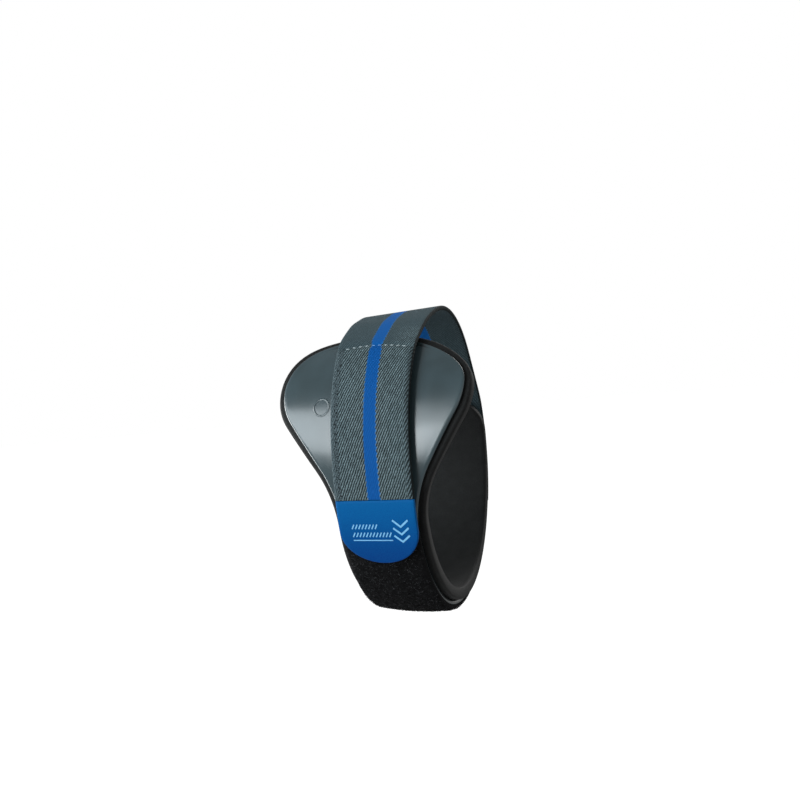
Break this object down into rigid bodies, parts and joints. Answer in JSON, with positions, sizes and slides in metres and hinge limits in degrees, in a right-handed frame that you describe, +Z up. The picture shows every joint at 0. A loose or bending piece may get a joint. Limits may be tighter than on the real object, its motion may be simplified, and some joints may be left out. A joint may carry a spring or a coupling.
{
  "type": "tennis elbow strap",
  "caption": "Forearm strap in its worn form: a stiff C-shaped shell with a rounded paddle on a foam liner, closed over the arm by an elastic strap with a hook tab.",
  "frame": {"origin": "on the axis of the forearm, in the middle of the band's width", "axes": "+X along the forearm from the wrist to the elbow, +Z up over the arm, the paddle faces -Y"},
  "size_m": [0.0738, 0.1131, 0.1135],
  "materials": {
    "foam": "black closed-cell foam with a matte skin",
    "plastic": "slate grey moulded plastic, satin gloss",
    "loop": "black brushed loop pile",
    "tab": "smooth blue coated fabric with a pale printed mark",
    "webbing": "grey elastic webbing in twill weave with a blue stripe woven in"
  },
  "bodies": {
    "root": {"foam_liner": "foam", "shell": "plastic", "loop_strip": "loop", "hook_tab": "tab", "elastic_strap": "webbing"}
  },
  "joints": []
}
